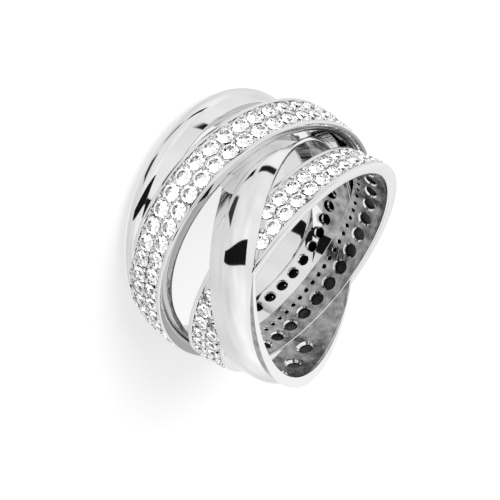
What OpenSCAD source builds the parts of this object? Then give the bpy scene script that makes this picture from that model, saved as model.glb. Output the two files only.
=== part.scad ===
// Woven pave ring lying on its side on a floor at height 0, sizes in millimetres.
// Four hoops lean different ways round the finger and are soldered where they cross.
// The hoops are drawn about the finger, then the whole ring is laid down the way it comes to rest.

/* [Finger] */
// Diameter of the finger hole
bore_diameter = 17.5; // [17.4:0.05:17.6]

/* [Back polished hoop] */
// Lean of the hoop from square to the finger, degrees
back_lean = 9.1; // [8.8:0.1:9.4]
// Direction of its highest side, degrees
back_turn = 60.7; // [58:0.1:63]
// Height of its middle
back_height = -4.36; // [-4.45:0.01:-4.3]
// Outer radius
back_radius = 10.46; // [10.4:0.01:10.5]
// Half of its width
back_half = 1.45; // [1.4:0.01:1.5]

/* [Front polished hoop] */
// Lean of the hoop, degrees
front_lean = 18.86; // [18.6:0.02:19]
// Direction of its highest side, degrees
front_turn = -5.8; // [-6.4:0.1:-5.2]
// Height of its middle
front_height = 2.20; // [2.15:0.01:2.25]
// Outer radius
front_radius = 10.02; // [9.98:0.01:10.06]
// Half of its width
front_half = 1.88; // [1.84:0.01:1.9]

/* [Arched pave hoop] */
// Lean of the hoop, degrees
arch_lean = 12.93; // [12.8:0.01:13.1]
// Direction of its highest side, degrees
arch_turn = 152.5; // [151.5:0.1:153.5]
// Height of its middle
arch_height = -1.47; // [-1.5:0.01:-1.44]
// Outer radius
arch_radius = 10.85; // [10.84:0.01:10.9]
// Half of its width
arch_half = 1.87; // [1.86:0.01:1.9]
// Width of each bright rim
arch_rim = 0.36; // [0.34:0.01:0.4]
// Stone diameter
arch_stone = 1.45; // [1.3:0.01:1.46]
// Distance of a stone row from the middle line
arch_row = 0.72; // [0.71:0.01:0.74]

/* [Low pave hoop] */
// Lean of the hoop, degrees
low_lean = 14.15; // [14:0.05:14.3]
// Direction of its highest side, degrees
low_turn = -151.3; // [-152:0.1:-150.6]
// Height of its middle
low_height = 2.77; // [2.74:0.01:2.8]
// Outer radius
low_radius = 9.81; // [9.8:0.01:9.85]
// Half of its width
low_half = 1.68; // [1.66:0.01:1.7]
// Width of each bright rim
low_rim = 0.36; // [0.34:0.01:0.38]
// Stone diameter
low_stone = 1.28; // [1.15:0.01:1.29]
// Distance of a stone row from the middle line
low_row = 0.62; // [0.61:0.01:0.63]

/* [Setting] */
// Depth of the stone beds below the rims
bed_depth = 0.62; // [0.61:0.01:0.63]
// Stones in one row, round the whole hoop
row_count = 45; // [43:1:45]
// Height of the tables above the rims
table_lift = 0.10; // [0.08:0.01:0.12]
// Diameter of the large holes under the low pave hoop
low_hole = 1.00; // [0.9:0.05:1.05]
// Diameter of the holes under the arched pave hoop
arch_hole = 0.85; // [0.75:0.05:0.9]
// Diameter of the pockets inside the front polished hoop
pocket_hole = 1.10; // [1.0:0.05:1.15]
// Diameter of the pin holes beside the large holes
pin_hole = 0.36; // [0.3:0.02:0.4]

/* [Hidden] */
$fn = 96;
bore = bore_diameter / 2;
// How the ring comes to rest: tilt of the finger hole, the line it tilts about,
// its turn on the floor, and where the middle of the finger hole lies
rest_tilt = 8.54;
rest_line = [-0.138, 0.055, 0];
rest_turn = -27.5;
rest_place = [0.99, 0.19, 5.92];
core = 7.6;
reach = 30;
pitch = 360 / row_count;
// Middle of each hoop: x, y, z
back_middle = [-0.55, -0.30, back_height];
front_middle = [0, -0.60, front_height];
arch_middle = [-0.75, -0.45, arch_height];
low_middle = [0.05, 0, low_height];
// Middle and radius of the openings of the hoops that stand off the finger
back_opening = [-0.55, -0.30, 9.10];
front_opening = [-0.10, -0.80, 9.00];
arch_opening = [-0.85, -0.75, 9.30];
// Angles between which the front hoop lies over the low hoop's stone rows: lower row, upper row
front_over = [[250, 304], [262, 322]];
// Angles between which the arched hoop lies over the low hoop's lower row
arch_over = [24, 144];
// Large holes on the low hoop: first angle, step, count
low_hole_run = [-36, 10.3, 29];
// Holes on the arched hoop: first angle, step, count
arch_hole_run = [203.5, 8.3, 18];
// Pockets on the front hoop: first angle, step, count
pocket_run = [-5, 15, 5];
// Pin holes on the low hoop: first angle, step, count
pin_run = [26, 5.15, 26];

// Lays the ring down on its side
module at_rest() {
  translate(rest_place)
    rotate([0, 0, rest_turn])
      rotate(a = rest_tilt, v = rest_line)
        children();
}

// Carries a flat hoop to its lean, turn and middle
module leaning(middle, turn, lean) {
  translate(middle)
    rotate([0, 0, turn])
      rotate([0, -lean, 0])
        children();
}

// Section of a polished hoop beside the axis: two sloping sides and a round crown.
// Each side has the width of its slope and the depth of its outer edge below the crown.
module polished_section(outer, half, left_slope, right_slope, left_fall, right_fall) {
  rise = 0.26;
  shoulder = outer - rise;
  chord = half - (left_slope + right_slope) / 2;
  middle = (left_slope - right_slope) / 2;
  crown = (chord * chord + rise * rise) / (2 * rise);
  polygon([
    [core, -half],
    [outer - left_fall, -half],
    [shoulder, -half + left_slope],
    [shoulder, half - right_slope],
    [outer - right_fall, half],
    [core, half]
  ]);
  intersection() {
    translate([outer - crown, middle])
      circle(r = crown);
    translate([shoulder - 0.1, middle - chord])
      square([1, 2 * chord]);
  }
}

// Opening of a hoop that stands off the finger
module opening(place) {
  translate([place[0], place[1], 0])
    cylinder(h = reach, r = place[2], center = true);
}

// Everything between the two side faces of a hoop
module side_planes(middle, turn, lean, half) {
  leaning(middle, turn, lean)
    cylinder(h = 2 * half, r = 20, center = true);
}

module back_hoop() {
  difference() {
    leaning(back_middle, back_turn, back_lean)
      rotate_extrude()
        polished_section(back_radius, back_half, 0.42, 0.90, 0.62, 0.62);
    opening(back_opening);
  }
}

module front_hoop() {
  difference() {
    leaning(front_middle, front_turn, front_lean)
      rotate_extrude()
        polished_section(front_radius, front_half, 0.95, 0.62, 0.54, 0.62);
    difference() {
      opening(front_opening);
      side_planes(low_middle, low_turn, low_lean, low_half);
    }
  }
}

module arched_hoop() {
  difference() {
    leaning(arch_middle, arch_turn, arch_lean)
      cylinder(h = 2 * arch_half, r = arch_radius, center = true);
    difference() {
      opening(arch_opening);
      difference() {
        side_planes(front_middle, front_turn, front_lean, front_half - 0.1);
        opening(front_opening);
      }
    }
  }
}

// The space that the stones of the arched hoop take, open outward
module arched_bed() {
  wide = 2 * (arch_half - arch_rim);
  leaning(arch_middle, arch_turn, arch_lean)
    difference() {
      cylinder(h = wide, r = arch_radius + 1.5, center = true);
      cylinder(h = wide + 1, r = arch_radius - bed_depth, center = true);
    }
}

// A slice of the low hoop's round wall, which stays parallel to the finger
module low_slice(inner, outer, half) {
  intersection() {
    side_planes(low_middle, low_turn, low_lean, half);
    translate([low_middle[0], low_middle[1], 0])
      difference() {
        cylinder(h = reach, r = outer, center = true);
        cylinder(h = reach + 2, r = inner, center = true);
      }
  }
}

module low_bed() {
  low_slice(low_radius - bed_depth, low_radius + 0.9, low_half - low_rim);
}

module low_hoop() {
  difference() {
    low_slice(core, low_radius, low_half);
    low_bed();
  }
}

// The part of the low bed that is also sunk into the front hoop, at the back of the ring
module low_bed_at_back() {
  intersection() {
    low_bed();
    translate([-15, 0.5, -15])
      cube([30, 15, 30]);
  }
}

// Height and slope of the low hoop's middle line at an angle
function low_line(angle, radius) = low_height + radius * tan(low_lean) * cos(angle - low_turn);
function low_slope(angle) = atan(-tan(low_lean) * sin(angle - low_turn));

// Carries a piece that points along X to a place on the low hoop, aligned with its rims
module on_low_hoop(angle, shift, radius) {
  slope = low_slope(angle);
  along = -shift * sin(slope) / low_radius * 57.2958;
  translate([low_middle[0], low_middle[1], low_line(angle, radius) + shift * cos(slope)])
    rotate([0, 0, angle + along])
      translate([radius, 0, 0])
        rotate([slope, 0, 0])
          children();
}

// A run of round holes on the low hoop, drilled square to the finger
module low_holes(run, shift, radius) {
  for (i = [0:run[2] - 1])
    on_low_hoop(run[0] + i * run[1], shift, core)
      rotate([0, 90, 0])
        cylinder(h = low_radius - bed_depth + 0.2 - core, r = radius);
}

// A run of round holes on a leaning hoop, drilled from its middle
module hoop_holes(run, shift, radius, depth) {
  for (i = [0:run[2] - 1])
    rotate([0, 0, run[0] + i * run[1]])
      translate([core, 0, shift])
        rotate([0, 90, 0])
          cylinder(h = depth - core, r = radius);
}

module woven_band() {
  color([0.86, 0.87, 0.88])
    difference() {
      union() {
        back_hoop();
        difference() {
          front_hoop();
          low_bed_at_back();
        }
        arched_hoop();
        low_hoop();
      }
      arched_bed();
      cylinder(h = reach, r = bore, center = true);
      low_holes(low_hole_run, 0.2, low_hole / 2);
      low_holes(pin_run, -1.02, pin_hole / 2);
      leaning(arch_middle, arch_turn, arch_lean)
        hoop_holes(arch_hole_run, -0.45, arch_hole / 2, arch_radius - bed_depth + 0.2);
      leaning(front_middle, front_turn, front_lean)
        hoop_holes(pocket_run, -0.2, pocket_hole / 2, front_radius - 0.4);
    }
}

// Eight points of a stone's outline
function outline_points(radius, height, twist) = [
  for (i = [0:7]) [radius * cos(45 * i + twist), radius * sin(45 * i + twist), height]
];

// Cut stone, table at height 0: table, sixteen crown facets, thin girdle, eight pavilion facets
module brilliant(diameter) {
  wide = diameter / 2;
  crown = 0.15 * diameter;
  girdle = crown + 0.03;
  depth = girdle + 0.29 * diameter;
  polyhedron(
    points = concat(
      outline_points(wide * 0.58, 0, 0),
      outline_points(wide, -crown, 22.5),
      outline_points(wide, -girdle, 22.5),
      [[0, 0, -depth]]
    ),
    faces = concat(
      [[7, 6, 5, 4, 3, 2, 1, 0]],
      [for (i = [0:7]) [i, (i + 1) % 8, 8 + i]],
      [for (i = [0:7]) [(i + 1) % 8, 8 + (i + 1) % 8, 8 + i]],
      [for (i = [0:7]) [8 + i, 8 + (i + 1) % 8, 16 + (i + 1) % 8, 16 + i]],
      [for (i = [0:7]) [16 + i, 16 + (i + 1) % 8, 24]]
    )
  );
}

module arched_stone(angle, shift) {
  rotate([0, 0, angle])
    translate([arch_radius + table_lift, 0, shift])
      rotate([0, 90, 0])
        brilliant(arch_stone);
}

module low_stone_at(angle, shift) {
  on_low_hoop(angle, shift, low_radius + table_lift)
    rotate([0, 90, 0])
      brilliant(low_stone);
}

// True where no other hoop lies over the stone row at this angle
function in_sight(angle, row) =
  (angle < front_over[row][0] || angle > front_over[row][1]) &&
  (row == 1 || angle < arch_over[0] || angle > arch_over[1]);

module arched_pave_stones() {
  color([0.97, 0.98, 1.0])
    leaning(arch_middle, arch_turn, arch_lean)
      for (i = [0:row_count - 1]) {
        arched_stone(i * pitch, -arch_row);
        arched_stone((i + 0.5) * pitch, arch_row);
      }
}

module low_pave_stones() {
  color([0.94, 0.96, 1.0])
    for (i = [0:row_count - 1]) {
      if (in_sight(i * pitch, 0))
        low_stone_at(i * pitch, -low_row);
      if (in_sight((i + 0.5) * pitch, 1))
        low_stone_at((i + 0.5) * pitch, low_row);
    }
}

at_rest() woven_band();
at_rest() arched_pave_stones();
at_rest() low_pave_stones();
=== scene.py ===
"""Woven pave ring: four leaning hoops, two polished and two set with cut stones, on a pale floor."""

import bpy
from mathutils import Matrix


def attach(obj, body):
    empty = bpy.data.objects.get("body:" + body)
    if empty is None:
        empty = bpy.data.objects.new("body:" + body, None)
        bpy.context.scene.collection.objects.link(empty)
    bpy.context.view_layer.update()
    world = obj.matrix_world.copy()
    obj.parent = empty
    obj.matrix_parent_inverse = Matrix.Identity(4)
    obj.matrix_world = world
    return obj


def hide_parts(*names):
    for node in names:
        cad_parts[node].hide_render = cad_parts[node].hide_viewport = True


bl_info = {
    "name": "Woven Pave Ring",
    "version": (1, 0, 0),
    "blender": (4, 5, 0),
    "location": "3D View > Sidebar > Ring",
    "description": "Builds a wide ring of four leaning hoops, two of them set with rows of cut stones",
    "category": "Add Mesh",
}

import math
import random

import bmesh
import bpy
from mathutils import Matrix, Vector

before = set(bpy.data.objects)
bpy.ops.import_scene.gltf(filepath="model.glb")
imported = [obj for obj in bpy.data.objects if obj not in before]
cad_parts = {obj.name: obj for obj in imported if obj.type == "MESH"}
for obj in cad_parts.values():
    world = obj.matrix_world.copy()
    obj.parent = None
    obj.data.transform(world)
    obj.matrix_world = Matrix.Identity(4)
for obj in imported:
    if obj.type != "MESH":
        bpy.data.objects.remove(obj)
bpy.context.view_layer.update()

MM = 0.001
FULL_TURN = 2 * math.pi
# Steps round a hoop, and round the cylinders that cut it
HOOP_STEPS = 320
CUTTER_STEPS = 320
# Radius at which every hoop starts, well inside the finger hole
CORE = 7.6 * MM
# Smallest step between the inner walls of two hoops, so that no two share a face
STEP = 0.012 * MM
# Material slots of the metal pieces: 0 is polished
# Slot 1 is painted shade: a near black colour deep in the holes
HOLE_SHADE = 1
# Slot 2 is the rougher inside metal, its colour darkened as painted shade
INSIDE_SHADE = 2
# Stones in one row, round the whole hoop
ROW_COUNT = 45
PITCH = FULL_TURN / ROW_COUNT
# Spare on each side of a filling in its hoop, and round a stone in its seat
SPARE = 0.012 * MM
# Room left beyond a bed where another hoop is cut back for it
BED_SPARE = 0.02 * MM
# Depth of a hoop's section that moves out with its inner wall
WALL_DEPTH = 0.7 * MM
# Radius about the finger at which the holes start, just behind the finger hole's wall
HOLE_START = 8.765 * MM
# Metal left between the pockets and the crown, and between the holes behind the stones and the
# depth that other hoops keep clear of
POCKET_METAL = 0.4 * MM
ARCHED_METAL = 0.1 * MM
LOW_METAL = 0.06 * MM
# Runs of holes: first turn and step in degrees, count, distance from the hoop's middle line,
# and width of the flare at the mouth
POCKETS = (-5, 15, 5, -0.2 * MM, 0.2 * MM)
ARCHED_HOLES = (203.5, 8.3, 18, -0.45 * MM, 0.09 * MM)
LOW_HOLES = (-36, 10.3, 29, 0.2 * MM, 0.12 * MM)
PIN_HOLES = (26, 5.15, 26, -1.02 * MM, 0.04 * MM)
# Least and most light of the soft folds in the surroundings
FOLDS = (0.66, 1.22)
# Shift of the picture, as shares of its width
LENS_SHIFT = (-0.0318, -0.0075)


def length(title, about, millimetres):
    """Property for a length, given in millimetres"""
    return bpy.props.FloatProperty(
        name=title, description=about, default=millimetres * MM, unit="LENGTH", precision=5
    )


def angle(title, about, degrees):
    """Property for an angle, given in degrees"""
    return bpy.props.FloatProperty(
        name=title, description=about, default=math.radians(degrees), unit="ROTATION"
    )


def place(title, about, millimetres):
    """Property for a point, given in millimetres"""
    return bpy.props.FloatVectorProperty(
        name=title,
        description=about,
        default=[value * MM for value in millimetres],
        size=3,
        subtype="TRANSLATION",
        unit="LENGTH",
        precision=5,
    )


def colour(title, about, value):
    """Property for a colour"""
    return bpy.props.FloatVectorProperty(
        name=title, description=about, default=value, size=3, subtype="COLOR", min=0.0, max=1.0
    )


def factor(title, about, value):
    """Property for a plain number"""
    return bpy.props.FloatProperty(name=title, description=about, default=value, min=0.0)


class FingerSettings(bpy.types.PropertyGroup):
    """The finger hole, and how the whole ring lies"""

    bore: length("Bore radius", "Radius of the finger hole", 8.75)
    rest_tilt: angle("Resting tilt", "Lean of the finger hole as the ring lies", 8.54)
    rest_line: bpy.props.FloatVectorProperty(
        name="Tilt line",
        description="Direction of the line that the ring tilts about",
        default=(-0.138, 0.055, 0.0),
        size=3,
        subtype="DIRECTION",
    )
    rest_turn: angle("Turn on the floor", "Turn of the ring on the floor", -27.5)
    rest_place: place("Middle", "Where the middle of the finger hole lies", (0.99, 0.19, 5.92))


class BackHoopSettings(bpy.types.PropertyGroup):
    """The polished hoop at the back"""

    lean: angle("Lean", "Lean from square to the finger", 9.1)
    turn: angle("Turn", "Direction of its highest side", 60.7)
    middle: place("Middle", "Middle of the hoop", (-0.55, -0.30, -4.36))
    radius: length("Outer radius", "Radius over the crown", 10.46)
    half: length("Half width", "Half of the width", 1.45)
    low_slope: length("Lower slope", "Width of the lower slope", 0.42)
    high_slope: length("Upper slope", "Width of the upper slope", 1.20)
    low_fall: length("Lower fall", "Depth of the lower edge below the crown", 0.62)
    high_fall: length("Upper fall", "Depth of the upper edge below the crown", 0.55)
    opening: place("Opening", "Middle of the opening, and its radius", (-0.55, -0.30, 9.10))


class FrontHoopSettings(bpy.types.PropertyGroup):
    """The polished hoop at the front"""

    lean: angle("Lean", "Lean from square to the finger", 18.86)
    turn: angle("Turn", "Direction of its highest side", -5.8)
    middle: place("Middle", "Middle of the hoop", (0.0, -0.60, 2.20))
    radius: length("Outer radius", "Radius over the crown", 10.02)
    half: length("Half width", "Half of the width", 1.88)
    low_slope: length("Lower slope", "Width of the lower slope", 0.95)
    high_slope: length("Upper slope", "Width of the upper slope", 0.62)
    low_fall: length("Lower fall", "Depth of the lower edge below the crown", 0.54)
    high_fall: length("Upper fall", "Depth of the upper edge below the crown", 0.62)
    opening: place("Opening", "Middle of the opening, and its radius", (-0.10, -0.80, 9.00))
    pocket: length("Pocket", "Radius of the pockets inside", 0.55)


class ArchedHoopSettings(bpy.types.PropertyGroup):
    """The tall hoop with two rows of stones"""

    lean: angle("Lean", "Lean from square to the finger", 12.93)
    turn: angle("Turn", "Direction of its highest side", 152.5)
    middle: place("Middle", "Middle of the hoop", (-0.75, -0.45, -1.47))
    radius: length("Outer radius", "Radius of the rims", 10.85)
    half: length("Half width", "Half of the width", 1.87)
    rim: length("Rim", "Width of each bright rim", 0.36)
    row: length("Row", "Distance of a stone row from the middle line", 0.72)
    stone: length("Stone", "Diameter of the stones", 1.45)
    opening: place("Opening", "Middle of the opening, and its radius", (-0.85, -0.75, 9.30))
    hole: length("Hole", "Radius of the holes behind the stones", 0.425)


class LowHoopSettings(bpy.types.PropertyGroup):
    """The low hoop with two rows of stones, its wall parallel to the finger"""

    lean: angle("Lean", "Lean from square to the finger", 14.15)
    turn: angle("Turn", "Direction of its highest side", -151.3)
    middle: place("Middle", "Middle of the hoop", (0.05, 0.0, 2.77))
    radius: length("Outer radius", "Radius of the rims", 9.81)
    half: length("Half width", "Half of the width", 1.68)
    rim: length("Rim", "Width of each bright rim", 0.36)
    row: length("Row", "Distance of a stone row from the middle line", 0.62)
    stone: length("Stone", "Diameter of the stones", 1.28)
    hole: length("Hole", "Radius of the large holes behind the stones", 0.5)
    pin: length("Pin hole", "Radius of the pin holes beside them", 0.18)


class SettingSettings(bpy.types.PropertyGroup):
    """How the stones are set"""

    bed: length("Bed depth", "Depth of the metal between the stones below the rims", 0.19)
    seat: length("Seat depth", "Depth below the rims that other hoops keep clear of", 0.66)
    lift: length("Table lift", "Height of the tables above the rims", 0.10)
    bead: length("Bead radius", "Radius of the metal beads that hold the stones", 0.19)
    seed: bpy.props.IntProperty(
        name="Seed", description="Seed of the small turns of the stones", default=7
    )


class FinishSettings(bpy.types.PropertyGroup):
    """Colours of the metal and the stones"""

    gold: colour("White gold", "Colour of the polished metal", (0.80, 0.80, 0.80))
    # Painted shade: near black colour that stands in for the shade deep in the holes
    recess_shade: colour("Recess", "Colour of the metal deep in the holes", (0.09, 0.09, 0.09))
    # Painted shade: darker than the polished gold to stand in for the shade inside the ring; its
    # blotches are the metal's own tone
    inside: colour("Inside", "Colour of the rougher metal inside, darkened as painted shade", (0.38, 0.38, 0.38))
    stone: colour("Stone", "Colour of the clear stones", (1.0, 1.0, 1.0))
    ior: factor("Refraction", "Index of refraction of the stones", 2.15)


class StageSettings(bpy.types.PropertyGroup):
    """Camera, light and floor"""

    elevation: angle("Elevation", "Height of the camera above the ring's own plane", 28.203)
    roll: angle("Roll", "Turn of the picture about the line of sight", 115.898)
    distance: length("Distance", "Distance of the camera from the ring's middle", 198.0)
    lens: bpy.props.FloatProperty(
        name="Lens", description="Focal length in millimetres", default=181.76, min=1.0
    )
    floor: colour("Floor", "Colour of the floor", (0.30, 0.30, 0.30))
    floor_glow: factor("Floor glow", "Light that the lit floor gives off", 0.62)
    lamp: factor("Lamp", "Strength of the soft lamp that casts the shadow", 3.0)
    lamp_azimuth: angle("Lamp azimuth", "Direction that the lamp shines from", 168)
    lamp_elevation: angle("Lamp elevation", "Height that the lamp shines from", 50)
    lamp_spread: angle("Lamp spread", "Width of the lamp as the ring sees it", 50)
    sparkle: factor("Sparkle", "Added light that only the stones gather", 0.6)
    surroundings: factor("Surroundings", "Strength of the even light", 1.12)


def lathe(section, steps=HOOP_STEPS):
    """Closed section of (radius, height) points spun once about Z"""
    form = bmesh.new()
    corners = [form.verts.new((rho, 0.0, height)) for rho, height in section]
    edges = [form.edges.new((corners[i - 1], corners[i])) for i in range(len(corners))]
    bmesh.ops.spin(
        form,
        geom=corners + edges,
        cent=(0, 0, 0),
        axis=(0, 0, 1),
        dvec=(0, 0, 0),
        angle=FULL_TURN,
        steps=steps,
        use_merge=True,
    )
    bmesh.ops.remove_doubles(form, verts=form.verts, dist=1e-7)
    bmesh.ops.recalc_face_normals(form, faces=form.faces)
    return form


def rounded(corners, steps=4):
    """Closed outline through corners of (radius, height, rounding)"""
    outline = []
    for index, (rho, height, rounding) in enumerate(corners):
        here = Vector((rho, height))
        if not rounding:
            outline.append(here)
            continue
        before = (Vector(corners[index - 1][:2]) - here).normalized()
        after = (Vector(corners[(index + 1) % len(corners)][:2]) - here).normalized()
        half = before.angle(after) / 2
        reach = rounding / math.tan(half)
        centre = here + (before + after).normalized() * rounding / math.sin(half)
        start = here + before * reach - centre
        end = here + after * reach - centre
        for step in range(steps + 1):
            outline.append(centre + start.lerp(end, step / steps).normalized() * rounding)
    return outline


def inner_wall(half, rounding, steps=8):
    """Corners of a hoop's inner wall, from its upper to its lower edge"""
    span = half - rounding
    wall = [(CORE, half, rounding)]
    wall += [(CORE, span - 2 * span * i / steps, 0) for i in range(1, steps)]
    return wall + [(CORE, -half, rounding)]


def crown_arc(outer, rise, middle, chord, steps=14):
    """Corners of the round crown of a polished hoop"""
    radius = (chord * chord + rise * rise) / (2 * rise)
    reach = math.asin(chord / radius)
    return [
        (
            outer - radius + radius * math.cos(turn),
            middle + radius * math.sin(turn),
            0,
        )
        for turn in (reach * (2 * i / steps - 1) for i in range(1, steps))
    ]


def polished_section(hoop):
    """Outline of a polished hoop: sloping sides and a round crown"""
    rise, crisp, soft, inner = 0.26 * MM, 0.05 * MM, 0.11 * MM, 0.16 * MM
    shoulder = hoop.radius - rise
    chord = hoop.half - (hoop.low_slope + hoop.high_slope) / 2
    middle = (hoop.low_slope - hoop.high_slope) / 2
    corners = [
        (hoop.radius - hoop.low_fall, -hoop.half, soft),
        (shoulder, -hoop.half + hoop.low_slope, crisp),
        *crown_arc(hoop.radius, rise, middle, chord),
        (shoulder, hoop.half - hoop.high_slope, crisp),
        (hoop.radius - hoop.high_fall, hoop.half, soft),
    ]
    return rounded(corners + inner_wall(hoop.half, inner))


def pave_section(hoop, bed, inner_rounding):
    """Outline of a pave hoop: two bright rims beside a sunk bed"""
    inside = hoop.half - hoop.rim
    floor = hoop.radius - bed
    crisp, soft = 0.05 * MM, 0.10 * MM
    corners = [
        (hoop.radius, -hoop.half, soft),
        (hoop.radius, -inside, crisp),
        (floor, -inside, crisp),
        (floor, -inside / 3, 0),
        (floor, inside / 3, 0),
        (floor, inside, crisp),
        (hoop.radius, inside, crisp),
        (hoop.radius, hoop.half, soft),
    ]
    return rounded(corners + inner_wall(hoop.half, inner_rounding))


def leaning(hoop):
    """Matrix that carries a flat hoop to its lean, turn and middle"""
    return (
        Matrix.Translation(hoop.middle)
        @ Matrix.Rotation(hoop.turn, 4, "Z")
        @ Matrix.Rotation(-hoop.lean, 4, "Y")
    )


def shear(hoop):
    """Matrix that leans a hoop's height only, so that its walls stay parallel to the finger"""
    slope = math.tan(hoop.lean)
    matrix = Matrix.Identity(4)
    matrix[2][0] = slope * math.cos(hoop.turn)
    matrix[2][1] = slope * math.sin(hoop.turn)
    matrix[2][2] = 1 / math.cos(hoop.lean)
    return Matrix.Translation(hoop.middle) @ matrix


def at_rest(scene):
    """Matrix that lays the ring down on the floor"""
    finger = scene.ring_finger
    return (
        Matrix.Translation(finger.rest_place)
        @ Matrix.Rotation(finger.rest_turn, 4, "Z")
        @ Matrix.Rotation(finger.rest_tilt, 4, Vector(finger.rest_line))
    )


def open_out(form, rings, matrix):
    """Moves the inner wall out to the largest of some cylinders about the finger.

    form is still flat, matrix is the one that will place it, and each ring is (x, y, radius).
    """
    for vert in form.verts:
        rho = math.hypot(vert.co.x, vert.co.y)
        if rho > CORE + WALL_DEPTH:
            continue
        along = Vector((vert.co.x / rho, vert.co.y / rho, 0))
        start = matrix @ Vector((0, 0, vert.co.z))
        path = matrix.to_3x3() @ along
        out = max(distance_to_ring(start, path, ring) for ring in rings)
        vert.co = along * (out + rho - CORE) + Vector((0, 0, vert.co.z))


def distance_to_ring(start, path, ring):
    """How far along a path the cylinder about the finger lies"""
    gap = Vector((start.x - ring[0], start.y - ring[1]))
    way = Vector((path.x, path.y))
    dot = gap.dot(way)
    return (
        -dot + math.sqrt(dot * dot - way.length_squared * (gap.length_squared - ring[2] ** 2))
    ) / way.length_squared


def disc(radius, half):
    """Outline of a solid disc, for a lathe"""
    return [(0.0, -half), (radius, -half), (radius, half), (0.0, half)]


def band(inner, outer, half):
    """Outline of a flat band, for a lathe"""
    return [(inner, -half), (outer, -half), (outer, half), (inner, half)]


def placed(form, matrix):
    """The form after a transform"""
    bmesh.ops.transform(form, matrix=matrix, verts=form.verts)
    return form


def post(ring, reach=30 * MM):
    """Cylinder along the finger, as wide as an opening, that leaves a dull wall darkened as painted
    shade
    """
    form = lathe(disc(ring[2], reach), CUTTER_STEPS)
    for face in form.faces:
        face.material_index = INSIDE_SHADE
    return placed(form, Matrix.Translation((ring[0], ring[1], 0)))


def slab(hoop, half, reach=20 * MM, steps=64):
    """Everything between the two side faces of a hoop"""
    return placed(lathe(disc(reach, half), steps), leaning(hoop))


def to_mesh(form, title="part"):
    """Mesh data of a form, which is freed"""
    mesh = bpy.data.meshes.new(title)
    form.to_mesh(mesh)
    form.free()
    return mesh


def combined(form, other, operation):
    """The form less the other one, or what both share"""
    objects = [bpy.data.objects.new("part", to_mesh(item)) for item in (form, other)]
    for item in objects:
        bpy.context.scene.collection.objects.link(item)
    tool = objects[0].modifiers.new("Cut", "BOOLEAN")
    tool.operation = operation
    tool.solver = "MANIFOLD"
    tool.material_mode = "INDEX"
    tool.object = objects[1]
    graph = bpy.context.evaluated_depsgraph_get()
    mesh = bpy.data.meshes.new_from_object(objects[0].evaluated_get(graph))
    result = bmesh.new()
    result.from_mesh(mesh)
    for item in objects:
        data = item.data
        bpy.data.objects.remove(item)
        bpy.data.meshes.remove(data)
    bpy.data.meshes.remove(mesh)
    if not result.faces:
        raise RuntimeError("a cut left nothing of a hoop")
    return result


def minus(form, other):
    """The form with the other one cut away"""
    return combined(form, other, "DIFFERENCE")


def shared(form, other):
    """What both forms share"""
    return combined(form, other, "INTERSECT")


def joined(forms):
    """Several forms in one"""
    whole = bmesh.new()
    for form in forms:
        mesh = to_mesh(form)
        whole.from_mesh(mesh)
        bpy.data.meshes.remove(mesh)
    return whole


def dull_shaded_inside(form, start=-0.01 * MM, end=0.01 * MM):
    """Makes the wall between two depths from the inner one dull and darkened as painted shade, on a
    hoop that still lies flat
    """
    for face in form.faces:
        middle = face.calc_center_median()
        if start <= math.hypot(middle.x, middle.y) - CORE < end:
            face.material_index = INSIDE_SHADE


def add_metal(context, title, form):
    """Makes a form a piece of the metal band"""
    piece = add_piece(context, title, form, white_gold(context), "woven_band")
    finish = context.scene.ring_finish
    # The other two slots carry painted shade: near black deep in the holes, and darkened metal inside
    piece.data.materials.append(dull_shaded_gold("Recess gold painted with shade", finish.recess_shade, 0.5))
    piece.data.materials.append(dull_shaded_gold("Inside gold darkened with shade", finish.inside, 0.05))


def add_piece(context, title, form, material, node, crease=math.radians(32)):
    """Lays a form down with the ring, and makes it a piece that stands for a node"""
    placed(form, at_rest(context.scene))
    for face in form.faces:
        face.smooth = crease > 0
    for edge in form.edges:
        edge.smooth = edge.calc_face_angle(0.0) < crease
    piece = bpy.data.objects.new(title, to_mesh(form, title))
    context.scene.collection.objects.link(piece)
    piece.data.materials.append(material)
    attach(piece, "root")
    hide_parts(node)
    return piece


def drill(radius, depth, start, flare):
    """Round cutter that points outward along +X and widens in a flare at its start

    The flare stays polished, and the hole behind it is painted near black as shade.
    """
    section = [
        (0.0, 0.0),
        (radius + flare, 0.0),
        (radius + flare, start),
        (radius, start + flare),
        (radius, depth),
        (0.0, depth),
    ]
    form = lathe(section, 32)
    for face in form.faces:
        if face.calc_center_median().z > start + flare:
            face.material_index = HOLE_SHADE
    return placed(form, Matrix.Rotation(math.pi / 2, 4, "Y"))


def low_line(hoop, turn, radius):
    """Height of the low hoop's middle line"""
    return hoop.middle[2] + radius * math.tan(hoop.lean) * math.cos(turn - hoop.turn)


def on_low_hoop(hoop, turn, shift, radius):
    """Matrix to a place on the low hoop, aligned with its rims and pointing outward along X"""
    slope = math.atan(-math.tan(hoop.lean) * math.sin(turn - hoop.turn))
    along = -shift * math.sin(slope) / hoop.radius
    height = low_line(hoop, turn, radius) + shift * math.cos(slope)
    return (
        Matrix.Translation((hoop.middle[0], hoop.middle[1], height))
        @ Matrix.Rotation(turn + along, 4, "Z")
        @ Matrix.Translation((radius, 0, 0))
        @ Matrix.Rotation(slope, 4, "X")
    )


def on_arched_hoop(hoop, turn, shift, radius):
    """Matrix to a place on the arched hoop, pointing outward along X"""
    return (
        leaning(hoop)
        @ Matrix.Rotation(turn, 4, "Z")
        @ Matrix.Translation((radius, 0, shift))
    )


def run_of_turns(first, step, count):
    """Turns along a run of holes, given in degrees"""
    return [math.radians(first + step * i) for i in range(count)]


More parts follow.
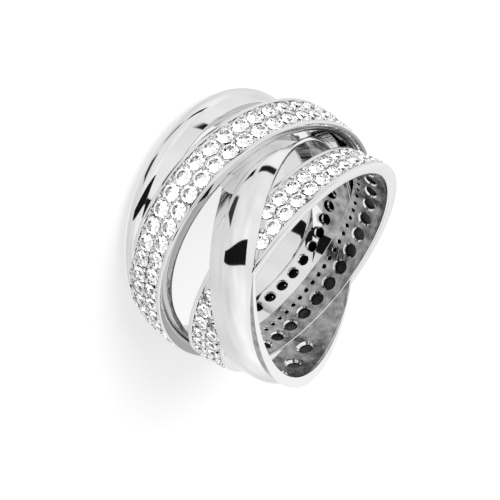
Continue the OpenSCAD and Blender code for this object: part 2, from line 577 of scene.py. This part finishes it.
def mask_group():
    """Shared effect: faint cloudy wear and fine polishing lines, as values over the surface"""
    name = "Polish wear"
    group = bpy.data.node_groups.get(name)
    if group:
        return group
    group = bpy.data.node_groups.new(name, "ShaderNodeTree")
    for title, default in (("Cloud Scale", 300.0), ("Line Scale", 4000.0), ("Amount", 1.0)):
        socket = group.interface.new_socket(title, in_out="INPUT", socket_type="NodeSocketFloat")
        socket.default_value = default
    for title in ("Cloud", "Lines"):
        group.interface.new_socket(title, in_out="OUTPUT", socket_type="NodeSocketFloat")
    nodes, links = group.nodes, group.links
    inputs = nodes.new("NodeGroupInput")
    outputs = nodes.new("NodeGroupOutput")
    coordinates = nodes.new("ShaderNodeTexCoord")
    cloud = nodes.new("ShaderNodeTexNoise")
    cloud.inputs["Detail"].default_value = 3.0
    stretch = nodes.new("ShaderNodeMapping")
    stretch.inputs["Scale"].default_value = (0.15, 1.0, 1.0)
    lines = nodes.new("ShaderNodeTexNoise")
    lines.inputs["Detail"].default_value = 2.0
    scale_cloud = nodes.new("ShaderNodeMath")
    scale_cloud.operation = "MULTIPLY"
    scale_lines = nodes.new("ShaderNodeMath")
    scale_lines.operation = "MULTIPLY"
    links.new(coordinates.outputs["Object"], cloud.inputs["Vector"])
    links.new(coordinates.outputs["Object"], stretch.inputs["Vector"])
    links.new(stretch.outputs["Vector"], lines.inputs["Vector"])
    links.new(inputs.outputs["Cloud Scale"], cloud.inputs["Scale"])
    links.new(inputs.outputs["Line Scale"], lines.inputs["Scale"])
    links.new(cloud.outputs["Fac"], scale_cloud.inputs[0])
    links.new(lines.outputs["Fac"], scale_lines.inputs[0])
    links.new(inputs.outputs["Amount"], scale_cloud.inputs[1])
    links.new(inputs.outputs["Amount"], scale_lines.inputs[1])
    links.new(scale_cloud.outputs[0], outputs.inputs["Cloud"])
    links.new(scale_lines.outputs[0], outputs.inputs["Lines"])
    return group


def ranged(nodes, links, value, low, high):
    """Value brought into a range"""
    node = nodes.new("ShaderNodeMapRange")
    node.inputs["To Min"].default_value = low
    node.inputs["To Max"].default_value = high
    links.new(value, node.inputs["Value"])
    return node.outputs["Result"]


def shades(value, share):
    """Colour made darker or lighter by a share, as a node takes it"""
    return (*[min(1.0, part * share) for part in value], 1.0)


def worn_material(title, cloud_scale):
    """New material, with its shader and the shared wear beside it"""
    material = bpy.data.materials.new(title)
    material.use_nodes = True
    nodes = material.node_tree.nodes
    wear = nodes.new("ShaderNodeGroup")
    wear.node_tree = mask_group()
    wear.inputs["Cloud Scale"].default_value = cloud_scale
    return material, nodes["Principled BSDF"], wear


def tinted(nodes, links, shader, first, second, share):
    """Gives a shader a base colour between two colours"""
    tint = nodes.new("ShaderNodeMix")
    tint.data_type = "RGBA"
    tint.inputs["A"].default_value = first
    tint.inputs["B"].default_value = second
    links.new(share, tint.inputs["Factor"])
    links.new(tint.outputs["Result"], shader.inputs["Base Color"])


def lined(nodes, links, shader, wear, strength, distance):
    """Raises the fine lines of the wear on a shader's surface"""
    bump = nodes.new("ShaderNodeBump")
    bump.inputs["Strength"].default_value = strength
    bump.inputs["Distance"].default_value = distance
    links.new(wear.outputs["Lines"], bump.inputs["Height"])
    links.new(bump.outputs["Normal"], shader.inputs["Normal"])


def white_gold(context):
    """Mirror-polished white gold"""
    ready = bpy.data.materials.get("White gold")
    if ready:
        return ready
    material, shader, wear = worn_material("White gold", 260.0)
    nodes, links = material.node_tree.nodes, material.node_tree.links
    cloud = wear.outputs["Cloud"]
    gold = context.scene.ring_finish.gold
    shader.inputs["Metallic"].default_value = 1.0
    wear.inputs["Line Scale"].default_value = 2600.0
    tinted(nodes, links, shader, shades(gold, 1.0), shades(gold, 0.95), cloud)
    links.new(ranged(nodes, links, cloud, 0.025, 0.07), shader.inputs["Roughness"])
    lined(nodes, links, shader, wear, 0.02, 0.00002)
    return material


def dull_shaded_gold(title, value, roughness):
    """Rougher metal inside the ring and in the holes, its colour darkened as painted shade, with
    blotches of its own tone
    """
    ready = bpy.data.materials.get(title)
    if ready:
        return ready
    material, shader, wear = worn_material(title, 1400.0)
    nodes, links = material.node_tree.nodes, material.node_tree.links
    cloud = wear.outputs["Cloud"]
    shader.inputs["Metallic"].default_value = 1.0
    wear.inputs["Line Scale"].default_value = 3000.0
    # Blotches of the metal's own tone, round a colour that is darkened as painted shade
    patches = ranged(nodes, links, cloud, -0.6, 1.6)
    tinted(nodes, links, shader, shades(value, 0.5), shades(value, 1.5), patches)
    rough = ranged(nodes, links, cloud, roughness, roughness + 0.15)
    links.new(rough, shader.inputs["Roughness"])
    lined(nodes, links, shader, wear, 0.5, 0.00003)
    return material


def clear_stone(context, title, tint_share):
    """Clear cut stone"""
    material, shader, wear = worn_material(title, 900.0)
    nodes, links = material.node_tree.nodes, material.node_tree.links
    stone = context.scene.ring_finish.stone
    shader.inputs["Transmission Weight"].default_value = 1.0
    shader.inputs["IOR"].default_value = context.scene.ring_finish.ior
    shader.inputs["Roughness"].default_value = 0.02
    first, second = shades(stone, 1.0), shades(stone, tint_share)
    tinted(nodes, links, shader, first, second, wear.outputs["Cloud"])
    return material


def brilliant(diameter):
    """Cut stone facing +X: table, star, kite and half facets, girdle and pavilion"""
    wide = diameter / 2
    crown, girdle, pavilion = 0.15 * diameter, 0.02 * diameter, 0.40 * diameter
    table, star = 0.57 * wide, 0.78 * wide
    rings = [
        (table, 0.0, 8, 0.5),
        (star, -crown * 0.56, 8, 0.0),
        (wide, -crown, 16, 0.0),
        (wide, -crown - girdle, 16, 0.0),
        (wide * 0.30, -crown - girdle - pavilion * 0.72, 8, 0.0),
    ]
    form = bmesh.new()
    for radius, depth, count, offset in rings:
        for i in range(count):
            turn = FULL_TURN * (i + offset) / count
            form.verts.new((depth, radius * math.cos(turn), radius * math.sin(turn)))
    form.verts.new((-crown - girdle - pavilion, 0, 0))
    bmesh.ops.convex_hull(form, input=form.verts)
    bmesh.ops.dissolve_limit(
        form, angle_limit=math.radians(0.6), verts=form.verts, edges=form.edges
    )
    bmesh.ops.recalc_face_normals(form, faces=form.faces)
    return form


def seat(diameter):
    """Cutter for a stone's seat, facing +X: a funnel a little wider than the stone"""
    wide, above = diameter / 2 + SPARE, 0.5 * MM
    crown, pavilion = 0.15 * diameter, 0.44 * diameter
    section = [
        (0.0, above),
        (wide, above),
        (wide, -crown - 0.02 * diameter),
        (0.12 * wide, -crown - pavilion),
        (0.0, -crown - pavilion),
    ]
    return placed(lathe(section, 24), Matrix.Rotation(math.pi / 2, 4, "Y"))


def arched_places(scene):
    """Where the arched hoop's stones sit"""
    hoop = scene.ring_arched
    radius = hoop.radius + scene.ring_setting.lift
    return [
        on_arched_hoop(hoop, (i + 0.5 * row) * PITCH, shift, radius)
        for i in range(ROW_COUNT)
        for row, shift in enumerate((-hoop.row, hoop.row))
    ]


def low_places(scene):
    """Where the low hoop's stones sit"""
    hoop = scene.ring_low
    radius = hoop.radius + scene.ring_setting.lift
    return [
        on_low_hoop(hoop, (i + 0.5 * row) * PITCH, shift, radius)
        for i in range(ROW_COUNT)
        for row, shift in enumerate((-hoop.row, hoop.row))
        if in_sight(math.degrees((i + 0.5 * row) * PITCH), row)
    ]


def scattered(template, matrices):
    """Copies of a form at many places, in one"""
    copies = []
    for matrix in matrices:
        copies.append(placed(template.copy(), matrix))
    template.free()
    return joined(copies)


def loose_turn(dice, most_tilt=math.radians(2.0)):
    """A stone's own small turn and tilt in its seat"""
    return (
        Matrix.Rotation(dice.uniform(0, FULL_TURN), 4, "X")
        @ Matrix.Rotation(dice.uniform(-most_tilt, most_tilt), 4, "Y")
        @ Matrix.Rotation(dice.uniform(-most_tilt, most_tilt), 4, "Z")
    )


# Angles, in degrees, between which the front hoop hides the low hoop's rows, lower row first.
# The stones at its edges are partly under it.
FRONT_OVER = ((258, 303), (270, 307))
# Angles, in degrees, between which the arched hoop lies over the low hoop's lower row
ARCH_OVER = (24, 144)


def in_sight(degrees, row):
    """True where no other hoop lies over the low hoop's stone row"""
    under_front = FRONT_OVER[row][0] <= degrees <= FRONT_OVER[row][1]
    under_arch = row == 0 and ARCH_OVER[0] <= degrees <= ARCH_OVER[1]
    return not under_front and not under_arch


def drilled(scene, form):
    """The form with every hole and pocket of the inner wall cut into it"""
    front, arched, low = scene.ring_front, scene.ring_arched, scene.ring_low
    seat_depth = scene.ring_setting.seat
    cutters = []
    for hoop, radius, reach, (*run, shift, flare) in (
        (front, front.pocket, front.radius - POCKET_METAL, POCKETS),
        (arched, arched.hole, arched.radius - seat_depth - ARCHED_METAL, ARCHED_HOLES),
    ):
        rings = [(0, 0, HOLE_START), tuple(hoop.opening)]
        for turn in run_of_turns(*run):
            place = Matrix.Rotation(turn, 4, "Z") @ Matrix.Translation((0, 0, shift))
            place = leaning(hoop) @ place
            path = place.to_3x3() @ Vector((1, 0, 0))
            start = max(distance_to_ring(place.translation, path, ring) for ring in rings)
            cutters.append(placed(drill(radius, reach, start, flare), place))
    reach = low.radius - seat_depth - LOW_METAL - CORE
    for radius, (*run, shift, flare) in ((low.hole, LOW_HOLES), (low.pin, PIN_HOLES)):
        for turn in run_of_turns(*run):
            cutter = drill(radius, reach, HOLE_START - CORE, flare)
            cutters.append(placed(cutter, on_low_hoop(low, turn, shift, CORE)))
    return minus(form, joined(cutters))


class RING_OT_back_hoop(bpy.types.Operator):
    """Build the polished hoop at the back"""

    bl_idname = "ring.back_hoop"
    bl_label = "Back Polished Hoop"

    def execute(self, context):
        scene = context.scene
        hoop, arched = scene.ring_back, scene.ring_arched
        form = lathe(polished_section(hoop))
        rings = [(0, 0, scene.ring_finger.bore + 3 * STEP), tuple(hoop.opening)]
        open_out(form, rings, leaning(hoop))
        placed(form, leaning(hoop))
        form = minus(form, bed_cutter(scene, arched))
        add_metal(context, "back_polished_hoop", drilled(scene, form))
        return {"FINISHED"}


def bed_room(scene, hoop, above):
    """Flat ring of room for a hoop's stones, up to a height above its rims"""
    floor = hoop.radius - scene.ring_setting.seat - BED_SPARE
    return lathe(band(floor, hoop.radius + above, hoop.half - hoop.rim + BED_SPARE))


def bed_cutter(scene, hoop):
    """Room for the arched hoop's stones, where other hoops end below them"""
    return placed(bed_room(scene, hoop, 1.5 * MM), leaning(hoop))


def low_bed_cutter(scene, hoop):
    """Room for the low hoop's stones where it is sunk into the front hoop, at the back"""
    form = placed(bed_room(scene, hoop, 0.9 * MM), shear(hoop))
    size, middle = 30 * MM, 15.5 * MM
    box = bmesh.new()
    bmesh.ops.create_cube(box, size=size)
    placed(box, Matrix.Translation((0, middle, 0)))
    return shared(form, box)


def filling(hoop, depth, other, other_half, openings):
    """Metal that fills a hoop where another one crosses it, clear of some openings"""
    form = placed(lathe(band(CORE, hoop.radius - depth, hoop.half - SPARE)), leaning(hoop))
    form = shared(form, slab(other, other_half))
    for ring in openings:
        form = minus(form, post(ring))
    return form


class RING_OT_front_hoop(bpy.types.Operator):
    """Build the polished hoop at the front, with its pockets"""

    bl_idname = "ring.front_hoop"
    bl_label = "Front Polished Hoop"

    def execute(self, context):
        scene = context.scene
        hoop, low, arched = scene.ring_front, scene.ring_low, scene.ring_arched
        bore = (0, 0, scene.ring_finger.bore + 5 * STEP)
        matrix = leaning(hoop)
        form = lathe(polished_section(hoop))
        dull_shaded_inside(form)
        open_out(form, [bore, tuple(hoop.opening)], matrix)
        placed(form, matrix)
        form = minus(form, bed_cutter(scene, arched))
        form = minus(form, low_bed_cutter(scene, low))
        depth, back = 0.64 * MM, 0.2 * MM
        core = filling(hoop, depth, low, low.half - SPARE, [(0, 0, bore[2] + back)])
        core = minus(core, low_bed_cutter(scene, low))
        form = joined([form, core])
        add_metal(context, "front_polished_hoop", drilled(scene, form))
        return {"FINISHED"}


class RING_OT_arched_hoop(bpy.types.Operator):
    """Build the tall pave hoop, with its bed and holes"""

    bl_idname = "ring.arched_hoop"
    bl_label = "Arched Pave Hoop"

    def execute(self, context):
        scene = context.scene
        hoop, front = scene.ring_arched, scene.ring_front
        bore = (0, 0, scene.ring_finger.bore + 2 * STEP)
        matrix = leaning(hoop)
        rounding = 0.6 * MM
        form = lathe(pave_section(hoop, scene.ring_setting.bed, rounding))
        dull_shaded_inside(form, 0.01 * MM, rounding)
        open_out(form, [bore, tuple(hoop.opening)], matrix)
        placed(form, matrix)
        back = 0.1 * MM
        openings = [(x, y, radius + back) for x, y, radius in (bore, tuple(front.opening))]
        core = filling(hoop, scene.ring_setting.seat, front, front.half - back, openings)
        form = joined([form, core])
        form = drilled(scene, form)
        form = minus(form, scattered(seat(hoop.stone), arched_places(scene)))
        add_metal(context, "arched_pave_hoop", form)
        return {"FINISHED"}


class RING_OT_low_hoop(bpy.types.Operator):
    """Build the low pave hoop, with its bed, holes and pin holes"""

    bl_idname = "ring.low_hoop"
    bl_label = "Low Pave Hoop"

    def execute(self, context):
        scene = context.scene
        hoop = scene.ring_low
        matrix = shear(hoop)
        rounding = 0.15 * MM
        form = lathe(pave_section(hoop, scene.ring_setting.bed, rounding))
        dull_shaded_inside(form)
        open_out(form, [(0, 0, scene.ring_finger.bore)], matrix)
        placed(form, matrix)
        form = drilled(scene, form)
        form = minus(form, scattered(seat(hoop.stone), low_places(scene)))
        add_metal(context, "low_pave_hoop", form)
        return {"FINISHED"}


class RING_OT_arched_stones(bpy.types.Operator):
    """Set the two rows of stones of the arched hoop"""

    bl_idname = "ring.arched_stones"
    bl_label = "Arched Pave Stones"

    def execute(self, context):
        scene = context.scene
        dice = random.Random(scene.ring_setting.seed)
        places = [matrix @ loose_turn(dice) for matrix in arched_places(scene)]
        form = scattered(brilliant(scene.ring_arched.stone), places)
        stone = clear_stone(context, "Arched stone", 0.97)
        add_piece(
            context, "arched_brilliants", form, stone, "arched_pave_stones", 0.0
        )
        return {"FINISHED"}


class RING_OT_low_stones(bpy.types.Operator):
    """Set the two rows of stones of the low hoop"""

    bl_idname = "ring.low_stones"
    bl_label = "Low Pave Stones"

    def execute(self, context):
        scene = context.scene
        dice = random.Random(scene.ring_setting.seed + 1)
        places = [matrix @ loose_turn(dice) for matrix in low_places(scene)]
        form = scattered(brilliant(scene.ring_low.stone), places)
        stone = clear_stone(context, "Low stone", 0.95)
        add_piece(context, "low_brilliants", form, stone, "low_pave_stones", 0.0)
        return {"FINISHED"}


def bead_form(radius):
    """Round bead of metal, pushed up beside a stone"""
    form = bmesh.new()
    bmesh.ops.create_uvsphere(form, u_segments=8, v_segments=6, radius=radius)
    return form


class RING_OT_beads(bpy.types.Operator):
    """Raise the beads of metal that hold the stones of both pave hoops"""

    bl_idname = "ring.beads"
    bl_label = "Setting Beads"

    def execute(self, context):
        scene = context.scene
        setting = scene.ring_setting
        arched, low = scene.ring_arched, scene.ring_low
        sink, from_rim, inner_share = 0.12 * MM, 0.07 * MM, 0.28
        places = []
        for hoop, carrier in ((arched, on_arched_hoop), (low, on_low_hoop)):
            wall = hoop.half - hoop.rim - from_rim
            radius = hoop.radius - sink
            for i in range(ROW_COUNT):
                for row in (0, 1):
                    turn = (i + 0.5 - 0.5 * row) * PITCH
                    side = 1 if row else -1
                    degrees = math.degrees(turn)
                    if hoop == low and not in_sight(degrees, row):
                        continue
                    for shift in (side * wall, side * inner_share * hoop.row):
                        places.append(carrier(hoop, turn, shift, radius))
        form = scattered(bead_form(setting.bead), places)
        add_metal(context, "setting_beads", form)
        return {"FINISHED"}


class RING_OT_stage(bpy.types.Operator):
    """Lay the floor, and place the surroundings, the lamp and the camera"""

    bl_idname = "ring.stage"
    bl_label = "Stage"

    def execute(self, context):
        scene = context.scene
        make_floor(scene)
        make_light(scene)
        make_lamp(scene)
        make_camera(scene)
        scene.view_settings.view_transform = "Standard"
        return {"FINISHED"}


def make_floor(scene):
    """Wide pale floor, a little below the ring"""
    form = bmesh.new()
    bmesh.ops.create_grid(form, x_segments=1, y_segments=1, size=2.0)
    floor = bpy.data.objects.new("floor", to_mesh(form, "floor"))
    scene.collection.objects.link(floor)
    material = bpy.data.materials.new("Floor")
    material.use_nodes = True
    shader = material.node_tree.nodes["Principled BSDF"]
    shader.inputs["Base Color"].default_value = (*scene.ring_stage.floor, 1.0)
    shader.inputs["Roughness"].default_value = 0.9
    shader.inputs["Specular IOR Level"].default_value = 0.0
    shader.inputs["Emission Color"].default_value = (1.0, 1.0, 1.0, 1.0)
    shader.inputs["Emission Strength"].default_value = scene.ring_stage.floor_glow
    floor.data.materials.append(material)
    floor.visible_glossy = False


def computed(nodes, links, operation, *values):
    """Result of a Math node on numbers and other results"""
    node = nodes.new("ShaderNodeMath")
    node.operation = operation
    for socket, value in zip(node.inputs, values):
        if isinstance(value, (int, float)):
            socket.default_value = value
        else:
            links.new(value, socket)
    return node.outputs[0]


# Dark panels of the surroundings, in degrees: azimuth of the left and right edges at the horizon,
# how far each edge moves per degree of elevation, bottom, top, softness of the edges, and the
# share of light that is left
PANELS = (
    (-112, -93, -0.47, -0.24, -39, 40, 1.2, 0.01),
    (-192, -184, -0.61, -0.61, -46, -21, 2.0, 0.01),
    (-192, -184, -0.61, -0.61, -12, 16, 2.0, 0.01),
    (-146, -103, 0.0, 0.36, -64, -35, 4.0, 0.05),
    (28, 62, 0.0, 0.0, 14, 50, 10.0, 0.45),
)


def panel_light(nodes, links, panel):
    """Share of light that a dark panel lets through, over the direction"""
    left, right, left_lean, right_lean, bottom, top, softness, shade = panel
    azimuth = math.radians((left + right) / 2)
    half = math.radians((right - left) / 2)
    middle, reach = math.radians((bottom + top) / 2), math.radians((top - bottom) / 2)
    soft = math.radians(softness)
    coordinates = nodes.new("ShaderNodeTexCoord")
    parts = []
    for axis in (
        (math.cos(azimuth), math.sin(azimuth), 0),
        (-math.sin(azimuth), math.cos(azimuth), 0),
        (0, 0, 1),
    ):
        dot = nodes.new("ShaderNodeVectorMath")
        dot.operation = "DOT_PRODUCT"
        dot.inputs[1].default_value = axis
        links.new(coordinates.outputs["Generated"], dot.inputs[0])
        parts.append(dot.outputs["Value"])
    rise = computed(nodes, links, "ARCSINE", parts[2])
    side = computed(nodes, links, "ARCTAN2", parts[1], parts[0])
    past_left = computed(nodes, links, "MULTIPLY_ADD", rise, left_lean, -half)
    past_left = computed(nodes, links, "SUBTRACT", past_left, side)
    past_right = computed(nodes, links, "MULTIPLY_ADD", rise, -right_lean, -half)
    past_right = computed(nodes, links, "ADD", past_right, side)
    past_end = computed(nodes, links, "SUBTRACT", rise, middle)
    past_end = computed(nodes, links, "ABSOLUTE", past_end)
    past_end = computed(nodes, links, "SUBTRACT", past_end, reach)
    past = computed(nodes, links, "MAXIMUM", past_left, past_right)
    past = computed(nodes, links, "MAXIMUM", past, past_end)
    share = nodes.new("ShaderNodeMapRange")
    share.interpolation_type = "SMOOTHSTEP"
    share.inputs["From Min"].default_value = -soft / 2
    share.inputs["From Max"].default_value = soft / 2
    share.inputs["To Min"].default_value = shade
    links.new(past, share.inputs["Value"])
    return share.outputs["Result"]


def make_light(scene):
    """White surroundings with soft folds and dark panels, and plain white behind the ring"""
    world = bpy.data.worlds.new("Studio")
    scene.world = world
    world.use_nodes = True
    nodes, links = world.node_tree.nodes, world.node_tree.links
    shade = nodes["Background"]
    shade.inputs["Strength"].default_value = scene.ring_stage.surroundings
    coordinates = nodes.new("ShaderNodeTexCoord")
    height = nodes.new("ShaderNodeSeparateXYZ")
    links.new(coordinates.outputs["Generated"], height.inputs["Vector"])
    rise = nodes.new("ShaderNodeValToRGB")
    rise.color_ramp.interpolation = "EASE"
    rise.color_ramp.elements[0].position = 0.0
    rise.color_ramp.elements[0].color = (0.80, 0.80, 0.80, 1.0)
    rise.color_ramp.elements[1].position = 0.6
    rise.color_ramp.elements[1].color = (1.0, 1.0, 1.0, 1.0)
    lifted = computed(nodes, links, "MULTIPLY_ADD", height.outputs["Z"], 0.5, 0.5)
    links.new(lifted, rise.inputs["Fac"])
    drapes = nodes.new("ShaderNodeTexNoise")
    drapes.inputs["Scale"].default_value = 1.6
    drapes.inputs["Detail"].default_value = 1.0
    links.new(coordinates.outputs["Generated"], drapes.inputs["Vector"])
    rays = nodes.new("ShaderNodeLightPath")
    light = ranged(nodes, links, drapes.outputs["Fac"], *FOLDS)
    for panel in PANELS:
        light = computed(nodes, links, "MULTIPLY", light, panel_light(nodes, links, panel))
    through = rays.outputs["Is Transmission Ray"]
    light = computed(nodes, links, "MULTIPLY_ADD", through, scene.ring_stage.sparkle, light)
    folds = nodes.new("ShaderNodeMix")
    folds.data_type = "RGBA"
    folds.blend_type = "MULTIPLY"
    folds.inputs["Factor"].default_value = 1.0
    links.new(rise.outputs["Color"], folds.inputs["A"])
    links.new(light, folds.inputs["B"])
    links.new(folds.outputs["Result"], shade.inputs["Color"])
    backdrop = nodes.new("ShaderNodeBackground")
    backdrop.inputs["Color"].default_value = (1.0, 1.0, 1.0, 1.0)
    either = nodes.new("ShaderNodeMixShader")
    links.new(rays.outputs["Is Camera Ray"], either.inputs["Fac"])
    links.new(shade.outputs[0], either.inputs[1])
    links.new(backdrop.outputs[0], either.inputs[2])
    links.new(either.outputs[0], nodes["World Output"].inputs["Surface"])


def make_lamp(scene):
    """Wide soft lamp, for the shadow beside the ring"""
    stage = scene.ring_stage
    data = bpy.data.lights.new("lamp", "SUN")
    data.energy = stage.lamp
    data.angle = stage.lamp_spread
    lamp = bpy.data.objects.new("lamp", data)
    scene.collection.objects.link(lamp)
    lamp.visible_glossy = False
    towards = Vector((
        math.cos(stage.lamp_elevation) * math.cos(stage.lamp_azimuth),
        math.cos(stage.lamp_elevation) * math.sin(stage.lamp_azimuth),
        math.sin(stage.lamp_elevation),
    ))
    lamp.matrix_world = towards.to_track_quat("Z", "Y").to_matrix().to_4x4()


def make_camera(scene):
    """Camera at the photographed angle to the ring"""
    stage = scene.ring_stage
    rest = at_rest(scene)
    data = bpy.data.cameras.new("camera")
    camera = bpy.data.objects.new("camera", data)
    scene.collection.objects.link(camera)
    scene.camera = camera
    data.lens = stage.lens
    data.sensor_width = 36.0
    data.shift_x, data.shift_y = LENS_SHIFT
    data.clip_start = 1 * MM
    data.clip_end = 10.0
    back = Vector((0, -math.cos(stage.elevation), math.sin(stage.elevation)))
    sideways = Vector((1, 0, 0))
    upward = back.cross(sideways)
    right = sideways * math.cos(stage.roll) + upward * math.sin(stage.roll)
    up = upward * math.cos(stage.roll) - sideways * math.sin(stage.roll)
    turn = rest.to_3x3()
    axes = Matrix([turn @ right, turn @ up, turn @ back]).transposed().to_4x4()
    camera.matrix_world = Matrix.Translation(rest @ (back * stage.distance)) @ axes


class RING_PT_panel(bpy.types.Panel):
    """Buttons that build the ring piece by piece"""

    bl_idname = "RING_PT_panel"
    bl_label = "Woven Pave Ring"
    bl_space_type = "VIEW_3D"
    bl_region_type = "UI"
    bl_category = "Ring"

    def draw(self, context):
        for operator in OPERATORS:
            self.layout.operator(operator.bl_idname)


SETTINGS = {
    "ring_finger": FingerSettings,
    "ring_back": BackHoopSettings,
    "ring_front": FrontHoopSettings,
    "ring_arched": ArchedHoopSettings,
    "ring_low": LowHoopSettings,
    "ring_setting": SettingSettings,
    "ring_finish": FinishSettings,
    "ring_stage": StageSettings,
}
OPERATORS = (
    RING_OT_back_hoop,
    RING_OT_front_hoop,
    RING_OT_arched_hoop,
    RING_OT_low_hoop,
    RING_OT_arched_stones,
    RING_OT_low_stones,
    RING_OT_beads,
    RING_OT_stage,
)


def register():
    for group in (*SETTINGS.values(), *OPERATORS, RING_PT_panel):
        bpy.utils.register_class(group)
    for name, group in SETTINGS.items():
        setattr(bpy.types.Scene, name, bpy.props.PointerProperty(type=group))


def unregister():
    for name in SETTINGS:
        delattr(bpy.types.Scene, name)
    for group in reversed((*SETTINGS.values(), *OPERATORS, RING_PT_panel)):
        bpy.utils.unregister_class(group)


def main():
    """Registers the classes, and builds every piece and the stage"""
    register()
    bpy.ops.ring.back_hoop()
    bpy.ops.ring.front_hoop()
    bpy.ops.ring.arched_hoop()
    bpy.ops.ring.low_hoop()
    bpy.ops.ring.arched_stones()
    bpy.ops.ring.low_stones()
    bpy.ops.ring.beads()
    bpy.ops.ring.stage()


if __name__ == "__main__":
    main()
